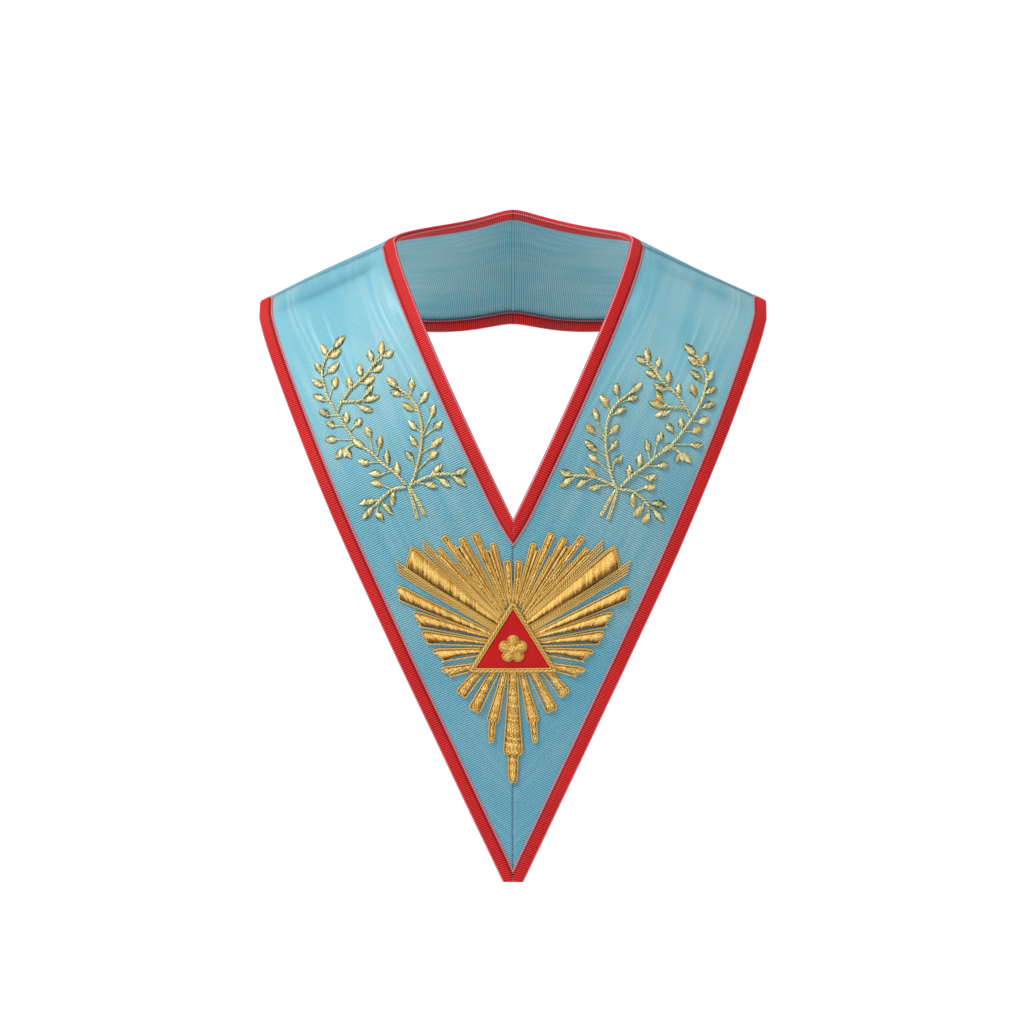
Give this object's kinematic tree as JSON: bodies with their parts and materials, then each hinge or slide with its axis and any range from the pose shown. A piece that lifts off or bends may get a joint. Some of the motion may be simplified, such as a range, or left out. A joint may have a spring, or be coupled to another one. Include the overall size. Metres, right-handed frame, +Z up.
{
  "type": "ceremonial collar sash",
  "caption": "V-shaped ceremonial collar of blue moire ribbon with red bound edges, a raised gold sunburst with a red triangle, and leafy gold sprigs on both legs.",
  "frame": {"origin": "the nape: underside of the inner edge at the centre back, where the collar lies on the wearer's neck", "axes": "+X to the viewer's right as seen from the front, +Y to the wearer's back, +Z up; the V points down and the front faces -Y"},
  "size_m": [0.3482, 0.2541, 0.4268],
  "materials": {
    "blue_ribbon": "light blue watered ribbon with fine cross ribs and a soft sheen",
    "red_binding": "red grosgrain binding folded over the edge, with cross ribs",
    "gold_bullion": "padded gold satin stitch and twisted cord with a metallic sheen",
    "red_satin": "smooth red satin",
    "gold_thread": "pale gold thread in small padded stitches"
  },
  "bodies": {
    "root": {"front_panel_right": "blue_ribbon", "front_panel_left": "blue_ribbon", "back_panel_right": "blue_ribbon", "back_panel_left": "blue_ribbon", "front_inner_binding_right": "red_binding", "front_inner_binding_left": "red_binding", "front_outer_binding_right": "red_binding", "front_outer_binding_left": "red_binding", "back_inner_binding_right": "red_binding", "back_inner_binding_left": "red_binding", "back_outer_binding_right": "red_binding", "back_outer_binding_left": "red_binding", "leaf_sprig_right": "gold_thread", "leaf_sprig_left": "gold_thread", "sunburst": "gold_bullion", "triangle_border": "gold_bullion", "triangle_field": "red_satin", "rosette": "gold_bullion"}
  },
  "joints": []
}
